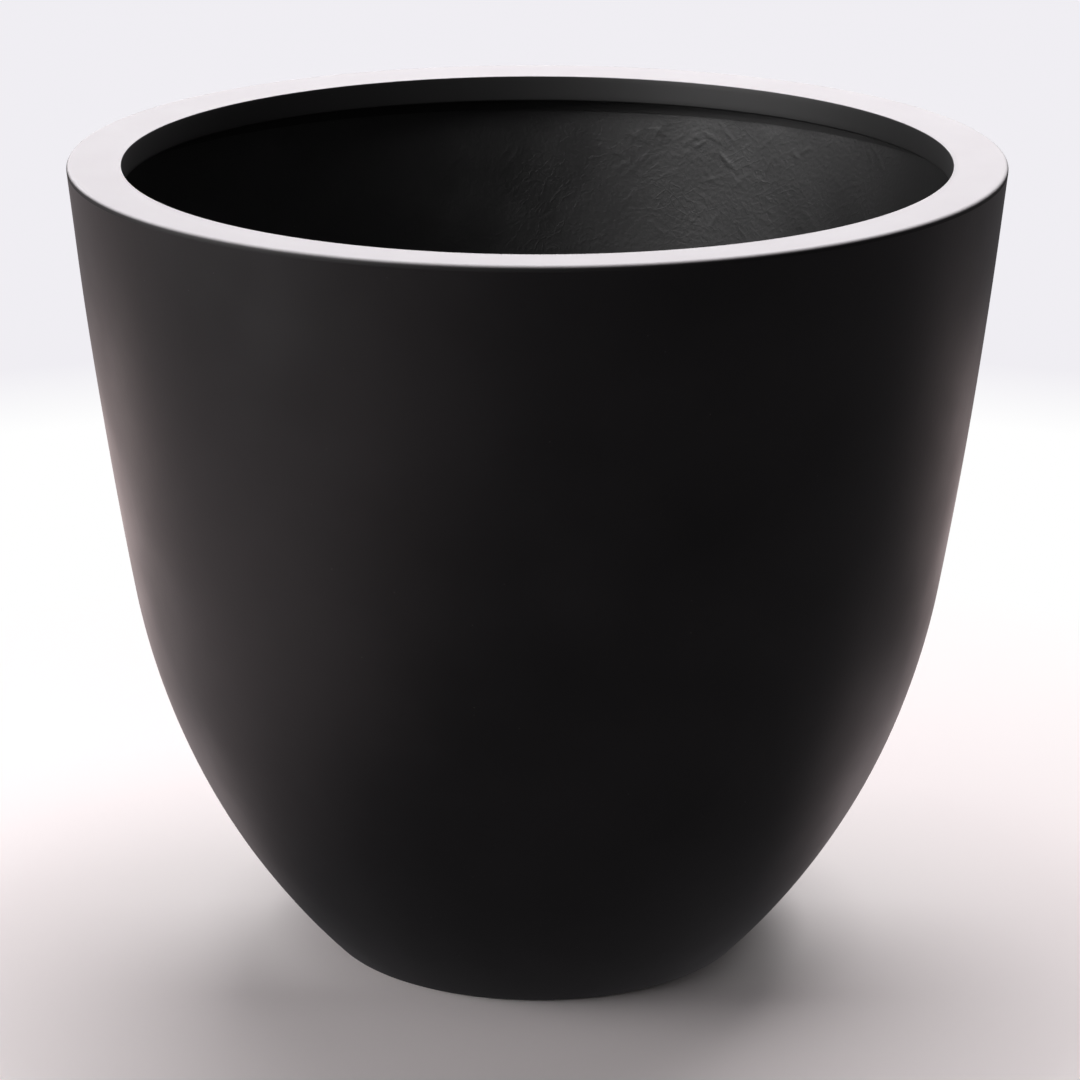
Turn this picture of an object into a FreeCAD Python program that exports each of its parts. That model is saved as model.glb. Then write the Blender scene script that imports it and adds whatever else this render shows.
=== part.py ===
"""Round fiberglass floor planter: laminated shell, bonded rim, bonded base and a plugged drain.

Millimetres, +Z up. The origin is on the floor, on the axis of the planter.
"""
import FreeCAD
import Part
import Sketcher

import math
import os
from types import SimpleNamespace

# Driving sizes in millimetres, and flares in degrees from the vertical
SIZES = {
    # whole planter
    "height": 803.0,
    "rim_dia": 914.0,
    "base_dia": 430.0,
    "shoulder_height": 377.0,
    "rim_flare": 5.7,
    "shoulder_flare": 9.5,
    "wall": 6.0,
    # straight band at the top of the wall, where the rim is bonded in
    "land_height": 60.0,
    # foot of the wall, turned in under the base
    "foot_lift": 1.5,
    "foot_wall": 8.0,
    "foot_width": 52.0,
    "foot_edge": 1.5,
    # rim: broad top that falls inwards, apron on the inside, skirt inside the wall
    "rim_width": 53.0,
    "rim_wall": 6.0,
    "rim_fall": 2.6,
    "rim_edge": 4.0,
    "rim_inner_edge": 1.0,
    "apron_depth": 27.0,
    "apron_wall": 6.0,
    "apron_edge": 2.0,
    "skirt_depth": 40.0,
    "skirt_wall": 5.0,
    # adhesive between skirt and wall
    "bond_gap": 2.0,
    "bond_depth": 34.0,
    "glue_line": 0.15,
    # base plate, and the cove of resin and glass tape around it
    "plate_wall": 10.0,
    "plate_inset": 6.0,
    "plate_edge": 1.0,
    "cove_height": 34.0,
    "cove_width": 30.0,
    "cove_lip": 2.0,
    "cove_line": 0.3,
    # drain fitting through the middle of the plate
    "drain_bore": 32.0,
    "drain_tail_dia": 44.0,
    "drain_flange_dia": 66.0,
    "drain_flange_wall": 4.0,
    "drain_flange_edge": 1.5,
    "drain_fit": 0.3,
    "gasket_dia": 62.0,
    "gasket_wall": 2.5,
    "nut_flats": 58.0,
    "nut_wall": 5.0,
    # stopper with a pull tab
    "plug_head_dia": 44.0,
    "plug_head_wall": 5.0,
    "plug_head_edge": 1.2,
    "plug_depth": 15.0,
    "plug_tip_dia": 28.0,
    "plug_tip_depth": 8.0,
    "plug_fit": 0.3,
    "tab_width": 18.0,
    "tab_height": 20.0,
    "tab_wall": 5.0,
    "tab_hole_dia": 8.0,
    "tab_root": 2.0,
    # foot pads, seated in shallow pockets under the foot
    "pad_count": 4,
    "pad_dia": 30.0,
    "pad_seat": 2.0,
    "pad_fit": 0.3,
}
S = SimpleNamespace(**SIZES)

# Places that several pieces share, as formulas in the sheet's cells
FLARE = "(Sizes.rim_flare * 1 deg)"
JOINT_Z = "(Sizes.height - Sizes.rim_wall)"
JOINT_R = f"(Sizes.rim_dia / 2 - Sizes.rim_wall * tan({FLARE}))"
RIM_INNER_R = "(Sizes.rim_dia / 2 - Sizes.rim_width)"
APRON_Z = "(Sizes.height - Sizes.rim_fall - Sizes.apron_depth)"
FOOT_TOP_Z = "(Sizes.foot_lift + Sizes.foot_wall)"
PLATE_TOP_Z = f"({FOOT_TOP_Z} + Sizes.plate_wall)"
FLANGE_Z = f"({PLATE_TOP_Z} + Sizes.gasket_wall)"
PLUG_SEAT_Z = f"({FLANGE_Z} + Sizes.drain_flange_wall)"
HOLE_DIA = "(Sizes.drain_tail_dia + 2 * Sizes.drain_fit)"
PAD_CIRCLE_R = "(Sizes.base_dia / 2 - Sizes.foot_width / 2)"

FULL_TURN = 360.0
HEX_SIDES = 6
START, END, CENTRE = 1, 2, 3
ORIGIN = (-1, 1)
NEAR = 1e-6


class Outline:
    """A sketch in one of a body's own planes, whose sizes follow the sheet."""

    def __init__(self, body, name, plane="XZ_Plane", lift=None):
        self.sketch = body.newObject("Sketcher::SketchObject", name)
        support = next(f for f in body.Origin.OriginFeatures if f.Role == plane)
        self.sketch.AttachmentSupport = [(support, "")]
        self.sketch.MapMode = "FlatFace"
        if lift:
            self.sketch.setExpression("AttachmentOffset.Base.z", lift)

    def line(self, start, end, construction=False):
        """Adds a straight stretch and gives its number."""
        segment = Part.LineSegment(FreeCAD.Vector(*start, 0), FreeCAD.Vector(*end, 0))
        return self.sketch.addGeometry(segment, construction)

    def arc(self, centre, radius, first, last, construction=False):
        """Adds an arc from the first to the last angle, anticlockwise, and gives its number."""
        circle = Part.Circle(FreeCAD.Vector(*centre, 0), FreeCAD.Vector(0, 0, 1), radius)
        return self.sketch.addGeometry(Part.ArcOfCircle(circle, first, last), construction)

    def circle(self, centre, radius):
        """Adds a whole circle and gives its number."""
        whole = Part.Circle(FreeCAD.Vector(*centre, 0), FreeCAD.Vector(0, 0, 1), radius)
        return self.sketch.addGeometry(whole, False)

    def loop(self, points):
        """Adds a closed loop of straight stretches and gives their numbers."""
        numbers = [self.line(a, b) for a, b in zip(points, points[1:] + points[:1])]
        for one, following in zip(numbers, numbers[1:] + numbers[:1]):
            self.tie("Coincident", one, END, following, START)
        return numbers

    def tie(self, kind, *where):
        """Adds a relation without a size."""
        self.sketch.addConstraint(Sketcher.Constraint(kind, *where))

    def size(self, kind, *where, now, formula):
        """Adds a size, with its first value, and binds it to a formula."""
        number = self.sketch.addConstraint(Sketcher.Constraint(kind, *where, now))
        self.sketch.setExpression(f"Constraints[{number}]", formula)

    def place(self, geometry, point, now, radius=None, height=None):
        """Binds a point's distance from the axis and its height."""
        if radius:
            self.size("DistanceX", *ORIGIN, geometry, point, now=now[0], formula=radius)
        if height:
            self.size("DistanceY", *ORIGIN, geometry, point, now=now[1], formula=height)


def wall_shape():
    """First shape of the wall's outside: two arcs and the straight land, tangent to each other.

    An arc's chord leans by the mean of the flares at its two ends, which gives each radius.
    """
    rim, shoulder = math.radians(S.rim_flare), math.radians(S.shoulder_flare)
    top = (S.rim_dia / 2 - S.rim_wall * math.tan(rim), S.height - S.rim_wall)
    land = (top[0] - S.land_height * math.tan(rim), top[1] - S.land_height)
    rise = land[1] - S.shoulder_height
    joint = (land[0] - rise * math.tan((rim + shoulder) / 2), S.shoulder_height)
    foot = (S.base_dia / 2, S.foot_lift)
    base = 2 * math.atan2(joint[0] - foot[0], joint[1] - foot[1]) - shoulder
    flare_radius = rise / (math.sin(shoulder) - math.sin(rim))
    bowl_radius = (joint[1] - foot[1]) / (math.sin(base) - math.sin(shoulder))
    lean = (math.cos(shoulder), -math.sin(shoulder))
    flare_centre = tuple(p - flare_radius * n for p, n in zip(joint, lean))
    bowl_centre = tuple(p - bowl_radius * n for p, n in zip(joint, lean))
    return SimpleNamespace(
        top=top, land=land, joint=joint, foot=foot, rim=rim, shoulder=shoulder, base=base,
        flare_radius=flare_radius, bowl_radius=bowl_radius,
        flare_centre=flare_centre, bowl_centre=bowl_centre,
    )


def draw_wall(outline, construction=False):
    """Draws the outside of the wall, from the foot's edge up to the joint with the rim."""
    w = wall_shape()
    bowl = outline.arc(w.bowl_centre, w.bowl_radius, -w.base, -w.shoulder, construction)
    flare = outline.arc(w.flare_centre, w.flare_radius, -w.shoulder, -w.rim, construction)
    land = outline.line(w.land, w.top, construction)
    outline.tie("Tangent", bowl, END, flare, START)
    outline.tie("Tangent", flare, END, land, START)
    land_r = f"({JOINT_R} - Sizes.land_height * tan({FLARE}))"
    land_z = f"({JOINT_Z} - Sizes.land_height)"
    mean_flare = "((Sizes.rim_flare + Sizes.shoulder_flare) / 2 * 1 deg)"
    shoulder_r = f"{land_r} - ({land_z} - Sizes.shoulder_height) * tan({mean_flare})"
    outline.place(land, END, w.top, JOINT_R, JOINT_Z)
    outline.place(land, START, w.land, land_r, land_z)
    outline.place(bowl, END, w.joint, shoulder_r, "Sizes.shoulder_height")
    outline.place(bowl, START, w.foot, "Sizes.base_dia / 2", "Sizes.foot_lift")
    return bowl, flare, land


def draw_inner_wall(outline, outer, inset, inset_formula, floor_z, construction=False):
    """Draws a curve at an even distance inside the wall, from the joint down to a floor."""
    w = wall_shape()
    outer_bowl, outer_flare, outer_land = outer
    radius = w.bowl_radius - inset
    floor_angle = math.asin((w.bowl_centre[1] - floor_z) / radius)
    bowl = outline.arc(w.bowl_centre, radius, -floor_angle, -w.shoulder, construction)
    flare = outline.arc(w.flare_centre, w.flare_radius - inset, -w.shoulder, -w.rim, construction)
    inward = (-inset * math.cos(w.rim), inset * math.sin(w.rim))
    low, high = (tuple(p + n for p, n in zip(q, inward)) for q in (w.land, w.top))
    land = outline.line(low, high, construction)
    outline.tie("Coincident", bowl, CENTRE, outer_bowl, CENTRE)
    outline.tie("Coincident", flare, CENTRE, outer_flare, CENTRE)
    outline.tie("Tangent", bowl, END, flare, START)
    outline.tie("Tangent", flare, END, land, START)
    outline.tie("Parallel", land, outer_land)
    outline.size("Distance", land, START, outer_land, now=inset, formula=inset_formula)
    return bowl, flare, land


def revolve(body, outline, name):
    """Turns an outline once around the planter's axis."""
    turned = body.newObject("PartDesign::Revolution", name)
    turned.Profile = outline.sketch
    turned.ReferenceAxis = (outline.sketch, ["V_Axis"])
    turned.Angle = FULL_TURN
    turned.Refine = False
    body.Document.recompute()
    return turned


def extrude(body, kind, outline, name, length, midplane=False, reverse=False):
    """Pads or pockets an outline by a length from the sheet."""
    feature = body.newObject(f"PartDesign::{kind}", name)
    feature.Profile = outline.sketch
    feature.Midplane = midplane
    feature.Reversed = reverse
    feature.setExpression("Length", length)
    body.Document.recompute()
    return feature


def ring_edges(shape, radius, height, reach):
    """Names of the whole circles around the axis within reach of a radius and a height."""
    names = []
    for number, edge in enumerate(shape.Edges, start=1):
        curve = edge.Curve
        if isinstance(curve, Part.Circle) and edge.Closed:
            near_r = abs(curve.Radius - radius) < reach
            near_z = abs(curve.Center.z - height) < reach
            if near_r and near_z:
                names.append(f"Edge{number}")
    return names


def round_edges(body, base, name, edges, radius):
    """Rounds the named edges of a feature by a radius from the sheet."""
    assert edges, f"{name}: no edge found"
    rounded = body.newObject("PartDesign::Fillet", name)
    rounded.Base = (base, edges)
    rounded.setExpression("Radius", radius)
    body.Document.recompute()
    return rounded


def pattern_around(body, feature, outline, name):
    """Repeats a feature evenly around the axis, once for each pad."""
    pattern = body.newObject("PartDesign::PolarPattern", name)
    pattern.Originals = [feature]
    pattern.Axis = (outline.sketch, ["N_Axis"])
    pattern.Angle = FULL_TURN
    pattern.setExpression("Occurrences", "Sizes.pad_count")
    body.Tip = pattern
    body.Document.recompute()
    return pattern


def new_body(doc, name):
    """Starts a piece with its own label."""
    body = doc.addObject("PartDesign::Body", name)
    body.Label = name
    return body


def make_sheet(doc):
    """Fills the sheet with one named cell for each driving size."""
    sheet = doc.addObject("Spreadsheet::Sheet", "Sizes")
    for row, (name, number) in enumerate(SIZES.items(), start=1):
        sheet.set(f"A{row}", name)
        sheet.set(f"B{row}", str(number))
        sheet.setAlias(f"B{row}", name)
    doc.recompute()


def make_outer_shell(doc):
    """Laminated wall of even thickness, turned in at the foot, with pockets for the pads."""
    body = new_body(doc, "outer_shell")
    outline = Outline(body, "shell_outline")
    outer = draw_wall(outline)
    foot_top = S.foot_lift + S.foot_wall
    inner = draw_inner_wall(outline, outer, S.wall, "Sizes.wall", foot_top)
    w = wall_shape()
    foot_inner_r = S.base_dia / 2 - S.foot_width
    step_r = S.base_dia / 2
    rim_line = outline.line(w.top, (w.top[0] - S.wall, w.top[1]))
    step = outline.line((step_r, foot_top), (foot_inner_r, foot_top))
    lip = outline.line((foot_inner_r, foot_top), (foot_inner_r, S.foot_lift))
    sole = outline.line((foot_inner_r, S.foot_lift), w.foot)
    outline.tie("Coincident", rim_line, START, outer[2], END)
    outline.tie("Coincident", rim_line, END, inner[2], END)
    outline.tie("Coincident", step, START, inner[0], START)
    outline.tie("Coincident", step, END, lip, START)
    outline.tie("Coincident", lip, END, sole, START)
    outline.tie("Coincident", sole, END, outer[0], START)
    for flat in (rim_line, step, sole):
        outline.tie("Horizontal", flat)
    outline.tie("Vertical", lip)
    outline.place(lip, START, (foot_inner_r, foot_top), "Sizes.base_dia / 2 - Sizes.foot_width", FOOT_TOP_Z)
    turned = revolve(body, outline, "shell_wall")
    sole_edge = ring_edges(turned.Shape, S.base_dia / 2, S.foot_lift, S.foot_lift)
    rounded = round_edges(body, turned, "foot_rounding", sole_edge, "Sizes.foot_edge")

    pocket_outline = Outline(body, "pad_pocket_outline", "XY_Plane", "Sizes.foot_lift")
    pocket_r = S.pad_dia / 2 + S.pad_fit
    centre = (S.base_dia / 2 - S.foot_width / 2, 0.0)
    hole = pocket_outline.circle(centre, pocket_r)
    pocket_outline.tie("PointOnObject", hole, CENTRE, -1)
    pocket_outline.place(hole, CENTRE, centre, PAD_CIRCLE_R)
    pocket_outline.size("Radius", hole, now=pocket_r, formula="Sizes.pad_dia / 2 + Sizes.pad_fit")
    pocket = extrude(body, "Pocket", pocket_outline, "pad_pocket", "Sizes.pad_seat", reverse=True)
    assert pocket.Shape.Volume < rounded.Shape.Volume - NEAR, "the pad pocket cuts nothing"
    pattern_around(body, pocket, pocket_outline, "pad_pockets")
    return body


def make_rim_ring(doc):
    """Rim moulding: broad top, apron down the inside and a skirt that nests in the wall."""
    body = new_body(doc, "rim_ring")
    outline = Outline(body, "rim_outline")
    w = wall_shape()
    tan_rim = math.tan(w.rim)
    inner_r = S.rim_dia / 2 - S.rim_width
    inner_z = S.height - S.rim_fall
    skirt_r = w.top[0] - S.wall - S.bond_gap
    skirt_z = w.top[1] - S.skirt_depth
    skirt_low_r = skirt_r - S.skirt_depth * tan_rim
    apron_z = inner_z - S.apron_depth
    points = [
        (inner_r, inner_z),
        (S.rim_dia / 2, S.height),
        w.top,
        (skirt_r, w.top[1]),
        (skirt_low_r, skirt_z),
        (skirt_low_r - S.skirt_wall, skirt_z),
        (skirt_r - S.skirt_wall, w.top[1]),
        (inner_r + S.apron_wall, inner_z - S.rim_wall),
        (inner_r + S.apron_wall, apron_z),
        (inner_r, apron_z),
    ]
    numbers = outline.loop(points)
    top, side, seat, skirt_out, skirt_end, skirt_in, under, apron_out, apron_end, apron_in = numbers
    outline.place(top, START, points[0], RIM_INNER_R, "Sizes.height - Sizes.rim_fall")
    outline.place(top, END, points[1], "Sizes.rim_dia / 2", "Sizes.height")
    outline.place(side, END, points[2], JOINT_R, JOINT_Z)
    for flat in (seat, skirt_end, apron_end):
        outline.tie("Horizontal", flat)
    for upright in (apron_out, apron_in):
        outline.tie("Vertical", upright)
    outline.tie("Parallel", skirt_out, side)
    outline.tie("Parallel", skirt_in, side)
    outline.tie("Parallel", under, top)
    skirt_inset = S.wall + S.bond_gap
    outline.size("Distance", skirt_out, START, side, now=skirt_inset, formula="Sizes.wall + Sizes.bond_gap")
    outline.size("Distance", skirt_in, START, skirt_out, now=S.skirt_wall, formula="Sizes.skirt_wall")
    outline.size("Distance", under, END, top, now=S.rim_wall, formula="Sizes.rim_wall")
    outline.place(skirt_end, START, points[4], height=f"{JOINT_Z} - Sizes.skirt_depth")
    outline.place(apron_out, END, points[8], f"{RIM_INNER_R} + Sizes.apron_wall", APRON_Z)
    turned = revolve(body, outline, "rim_section")
    outer_edge = ring_edges(turned.Shape, S.rim_dia / 2, S.height, S.rim_wall / 2)
    rounded = round_edges(body, turned, "rim_rounding", outer_edge, "Sizes.rim_edge")
    inner_edge = ring_edges(rounded.Shape, inner_r, inner_z, S.rim_wall / 2)
    rounded = round_edges(body, rounded, "rim_inner_rounding", inner_edge, "Sizes.rim_inner_edge")
    apron_rings = ring_edges(rounded.Shape, inner_r + S.apron_wall / 2, apron_z, S.apron_wall)
    round_edges(body, rounded, "apron_rounding", apron_rings, "Sizes.apron_edge")
    return body


def make_rim_bond(doc):
    """Adhesive ring between the rim's skirt and the wall's land."""
    body = new_body(doc, "rim_bond")
    outline = Outline(body, "bond_outline")
    w = wall_shape()
    outer_r = w.top[0] - S.wall - S.glue_line
    inner_r = w.top[0] - S.wall - S.bond_gap + S.glue_line
    drop = S.bond_depth * math.tan(w.rim)
    low_z = w.top[1] - S.bond_depth
    points = [
        (inner_r, w.top[1]),
        (outer_r, w.top[1]),
        (outer_r - drop, low_z),
        (inner_r - drop, low_z),
    ]
    top, outside, bottom, inside = outline.loop(points)
    side = outline.line((S.rim_dia / 2, S.height), w.top, construction=True)
    outline.place(side, START, (S.rim_dia / 2, S.height), "Sizes.rim_dia / 2", "Sizes.height")
    outline.place(side, END, w.top, JOINT_R, JOINT_Z)
    for flat in (top, bottom):
        outline.tie("Horizontal", flat)
    for slanted in (outside, inside):
        outline.tie("Parallel", slanted, side)
    outer_inset = S.wall + S.glue_line
    inner_inset = S.wall + S.bond_gap - S.glue_line
    outline.size("Distance", outside, START, side, now=outer_inset, formula="Sizes.wall + Sizes.glue_line")
    outline.size("Distance", inside, END, side, now=inner_inset,
                 formula="Sizes.wall + Sizes.bond_gap - Sizes.glue_line")
    outline.place(top, START, points[0], height=JOINT_Z)
    outline.place(bottom, START, points[2], height=f"{JOINT_Z} - Sizes.bond_depth")
    revolve(body, outline, "bond_section")
    return body


def make_base_plate(doc):
    """Laminated disc that lies on the turned-in foot, with a hole for the drain."""
    body = new_body(doc, "base_plate")
    outline = Outline(body, "plate_outline", "XY_Plane", FOOT_TOP_Z)
    plate_r = S.base_dia / 2 - S.plate_inset
    hole_r = S.drain_tail_dia / 2 + S.drain_fit
    for radius, formula in ((plate_r, "Sizes.base_dia / 2 - Sizes.plate_inset"), (hole_r, f"{HOLE_DIA} / 2")):
        ring = outline.circle((0.0, 0.0), radius)
        outline.tie("Coincident", ring, CENTRE, *ORIGIN)
        outline.size("Radius", ring, now=radius, formula=formula)
    disc = extrude(body, "Pad", outline, "plate_disc", "Sizes.plate_wall")
    plate_top = S.foot_lift + S.foot_wall + S.plate_wall
    edges = ring_edges(disc.Shape, plate_r, plate_top, S.plate_wall / 2)
    round_edges(body, disc, "plate_rounding", edges, "Sizes.plate_edge")
    return body


def make_base_cove(doc):
    """Cove of resin and glass tape that joins the base plate to the wall all round."""
    body = new_body(doc, "base_cove")
    outline = Outline(body, "cove_outline")
    w = wall_shape()
    inset = S.wall + S.cove_line
    floor_z = S.foot_lift + S.foot_wall + S.plate_wall
    top_z = floor_z + S.cove_height
    outer = draw_wall(outline, construction=True)
    inner = draw_inner_wall(outline, outer, inset, "Sizes.wall + Sizes.cove_line", floor_z, construction=True)
    outline.place(inner[0], START, (0.0, floor_z), height=PLATE_TOP_Z)
    outline.place(inner[2], END, (0.0, w.top[1]), height=JOINT_Z)
    radius = w.bowl_radius - inset
    low, high = (math.asin((w.bowl_centre[1] - z) / radius) for z in (floor_z, top_z))
    low_r, high_r = (w.bowl_centre[0] + radius * math.cos(a) for a in (low, high))
    back = outline.arc(w.bowl_centre, radius, -low, -high)
    outline.tie("Coincident", back, CENTRE, outer[0], CENTRE)
    outline.tie("Equal", back, inner[0])
    outline.place(back, START, (low_r, floor_z), height=PLATE_TOP_Z)
    outline.place(back, END, (high_r, top_z), height=f"{PLATE_TOP_Z} + Sizes.cove_height")

    toe = (low_r - S.cove_width, floor_z)
    toe_top = (toe[0], floor_z + S.cove_lip)
    crest = (high_r - S.cove_lip, top_z)
    hollow_centre, hollow_radius, first, last = hollow_between(toe_top, crest, high)
    brim = outline.line((high_r, top_z), crest)
    hollow = outline.arc(hollow_centre, hollow_radius, first, last)
    toe_face = outline.line(toe_top, toe)
    floor = outline.line(toe, (low_r, floor_z))
    outline.tie("Coincident", brim, START, back, END)
    outline.tie("Coincident", brim, END, hollow, END)
    outline.tie("Coincident", hollow, START, toe_face, START)
    outline.tie("Coincident", toe_face, END, floor, START)
    outline.tie("Coincident", floor, END, back, START)
    outline.tie("Horizontal", brim)
    outline.tie("Vertical", toe_face)
    outline.tie("Horizontal", floor)
    outline.size("DistanceX", floor, START, floor, END, now=S.cove_width, formula="Sizes.cove_width")
    outline.size("DistanceX", brim, END, brim, START, now=S.cove_lip, formula="Sizes.cove_lip")
    outline.size("DistanceY", toe_face, END, toe_face, START, now=S.cove_lip, formula="Sizes.cove_lip")
    wall_normal = outline.line(w.bowl_centre, (high_r, top_z), construction=True)
    crest_normal = outline.line(hollow_centre, crest, construction=True)
    for normal, curve in ((wall_normal, back), (crest_normal, hollow)):
        outline.tie("Coincident", normal, START, curve, CENTRE)
        outline.tie("Coincident", normal, END, curve, END)
    outline.tie("Parallel", crest_normal, wall_normal)
    revolve(body, outline, "cove_section")
    return body


def hollow_between(low, high, dip):
    """Centre, radius and end angles of the arc from a low point to a high one.

    At the high point the arc runs along the wall, whose normal dips by an angle there.
    """
    normal = (math.cos(dip), -math.sin(dip))
    chord = (high[0] - low[0], high[1] - low[1])
    reach = chord[0] * normal[0] + chord[1] * normal[1]
    radius = (chord[0] ** 2 + chord[1] ** 2) / (2 * reach)
    centre = tuple(p - radius * n for p, n in zip(high, normal))
    first, last = (math.atan2(p[1] - centre[1], p[0] - centre[0]) for p in (low, high))
    return centre, radius, first, last


def make_drain_flange(doc):
    """Drain body: a flange on the gasket and a tail down through the plate and the nut."""
    body = new_body(doc, "drain_flange")
    outline = Outline(body, "drain_outline")
    under_z = S.foot_lift + S.foot_wall + S.plate_wall + S.gasket_wall
    top_z = under_z + S.drain_flange_wall
    end_z = S.foot_lift + S.foot_wall - S.nut_wall
    points = [
        (S.drain_bore / 2, top_z),
        (S.drain_flange_dia / 2, top_z),
        (S.drain_flange_dia / 2, under_z),
        (S.drain_tail_dia / 2, under_z),
        (S.drain_tail_dia / 2, end_z),
        (S.drain_bore / 2, end_z),
    ]
    face, rim, under, tail, end, bore = outline.loop(points)
    for flat in (face, under, end):
        outline.tie("Horizontal", flat)
    for upright in (rim, tail, bore):
        outline.tie("Vertical", upright)
    outline.place(face, START, points[0], "Sizes.drain_bore / 2", PLUG_SEAT_Z)
    outline.place(rim, END, points[2], "Sizes.drain_flange_dia / 2", FLANGE_Z)
    outline.place(tail, END, points[4], "Sizes.drain_tail_dia / 2", f"{FOOT_TOP_Z} - Sizes.nut_wall")
    turned = revolve(body, outline, "drain_section")
    edges = ring_edges(turned.Shape, S.drain_flange_dia / 2, top_z, S.drain_flange_wall / 2)
    round_edges(body, turned, "drain_rounding", edges, "Sizes.drain_flange_edge")
    return body


def make_drain_gasket(doc):
    """Flat rubber ring between the drain's flange and the plate."""
    body = new_body(doc, "drain_gasket")
    outline = Outline(body, "gasket_outline", "XY_Plane", PLATE_TOP_Z)
    rings = (
        (S.gasket_dia / 2, "Sizes.gasket_dia / 2"),
        (S.drain_tail_dia / 2 + S.drain_fit, f"{HOLE_DIA} / 2"),
    )
    for radius, formula in rings:
        ring = outline.circle((0.0, 0.0), radius)
        outline.tie("Coincident", ring, CENTRE, *ORIGIN)
        outline.size("Radius", ring, now=radius, formula=formula)
    extrude(body, "Pad", outline, "gasket_ring", "Sizes.gasket_wall")
    return body


def make_drain_nut(doc):
    """Thin hexagon lock nut on the drain's tail, under the plate."""
    blank = doc.addObject("Part::Prism", "nut_blank")
    blank.Polygon = HEX_SIDES
    blank.setExpression("Circumradius", "Sizes.nut_flats / 2 / cos(30 deg)")
    blank.setExpression("Height", "Sizes.nut_wall")
    bore = doc.addObject("Part::Cylinder", "nut_bore")
    bore.setExpression("Radius", f"{HOLE_DIA} / 2")
    bore.setExpression("Height", "Sizes.nut_wall")
    nut = doc.addObject("Part::Cut", "drain_nut")
    nut.Label = "drain_nut"
    nut.Base = blank
    nut.Tool = bore
    nut.setExpression("Placement.Base.z", f"{FOOT_TOP_Z} - Sizes.nut_wall")
    return nut


def make_drain_plug(doc):
    """Rubber stopper: a head on the drain's flange, a tapered stem in its bore and a pull tab."""
    body = new_body(doc, "drain_plug")
    outline = Outline(body, "plug_outline")
    seat_z = S.foot_lift + S.foot_wall + S.plate_wall + S.gasket_wall + S.drain_flange_wall
    head_z = seat_z + S.plug_head_wall
    stem_r = S.drain_bore / 2 - S.plug_fit
    shoulder_z = seat_z - S.plug_depth + S.plug_tip_depth
    points = [
        (0.0, head_z),
        (S.plug_head_dia / 2, head_z),
        (S.plug_head_dia / 2, seat_z),
        (stem_r, seat_z),
        (stem_r, shoulder_z),
        (S.plug_tip_dia / 2, seat_z - S.plug_depth),
        (0.0, seat_z - S.plug_depth),
    ]
    top, rim, under, stem, taper, tip, axis = outline.loop(points)
    for flat in (top, under, tip):
        outline.tie("Horizontal", flat)
    for upright in (rim, stem, axis):
        outline.tie("Vertical", upright)
    outline.tie("PointOnObject", top, START, -2)
    outline.place(top, END, points[1], "Sizes.plug_head_dia / 2", f"{PLUG_SEAT_Z} + Sizes.plug_head_wall")
    outline.place(stem, START, points[3], "Sizes.drain_bore / 2 - Sizes.plug_fit", PLUG_SEAT_Z)
    outline.place(stem, END, points[4], height=f"{PLUG_SEAT_Z} - Sizes.plug_depth + Sizes.plug_tip_depth")
    outline.place(taper, END, points[5], "Sizes.plug_tip_dia / 2", f"{PLUG_SEAT_Z} - Sizes.plug_depth")
    turned = revolve(body, outline, "plug_section")
    edges = ring_edges(turned.Shape, S.plug_head_dia / 2, head_z, S.plug_head_wall / 2)
    round_edges(body, turned, "plug_rounding", edges, "Sizes.plug_head_edge")

    tab = Outline(body, "tab_outline")
    half = S.tab_width / 2
    root_z = head_z - S.tab_root
    crown_z = head_z + S.tab_height - half
    crown = tab.arc((0.0, crown_z), half, 0.0, math.pi)
    left = tab.line((-half, crown_z), (-half, root_z))
    root = tab.line((-half, root_z), (half, root_z))
    right = tab.line((half, root_z), (half, crown_z))
    tab.tie("Tangent", crown, END, left, START)
    tab.tie("Coincident", left, END, root, START)
    tab.tie("Coincident", root, END, right, START)
    tab.tie("Tangent", right, END, crown, START)
    tab.tie("Horizontal", root)
    tab.tie("Vertical", left)
    tab.tie("Vertical", right)
    tab.tie("PointOnObject", crown, CENTRE, -2)
    tab.size("Radius", crown, now=half, formula="Sizes.tab_width / 2")
    head_top = f"{PLUG_SEAT_Z} + Sizes.plug_head_wall"
    tab.place(crown, CENTRE, (0.0, crown_z), height=f"{head_top} + Sizes.tab_height - Sizes.tab_width / 2")
    tab.place(root, START, (-half, root_z), height=f"{head_top} - Sizes.tab_root")
    eye = tab.circle((0.0, crown_z), S.tab_hole_dia / 2)
    tab.tie("Coincident", eye, CENTRE, crown, CENTRE)
    tab.size("Radius", eye, now=S.tab_hole_dia / 2, formula="Sizes.tab_hole_dia / 2")
    extrude(body, "Pad", tab, "pull_tab", "Sizes.tab_wall", midplane=True)
    return body


def make_foot_pads(doc):
    """Rubber pads, seated in the pockets under the foot and standing on the floor."""
    body = new_body(doc, "foot_pads")
    body.AllowCompound = True
    outline = Outline(body, "pad_outline", "XY_Plane")
    centre = (S.base_dia / 2 - S.foot_width / 2, 0.0)
    disc = outline.circle(centre, S.pad_dia / 2)
    outline.tie("PointOnObject", disc, CENTRE, -1)
    outline.place(disc, CENTRE, centre, PAD_CIRCLE_R)
    outline.size("Radius", disc, now=S.pad_dia / 2, formula="Sizes.pad_dia / 2")
    pad = extrude(body, "Pad", outline, "pad_disc", "Sizes.foot_lift + Sizes.pad_seat")
    pattern_around(body, pad, outline, "pad_set")
    return body


MAKERS = (
    make_outer_shell,
    make_rim_ring,
    make_rim_bond,
    make_base_plate,
    make_base_cove,
    make_drain_flange,
    make_drain_gasket,
    make_drain_nut,
    make_drain_plug,
    make_foot_pads,
)


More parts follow.
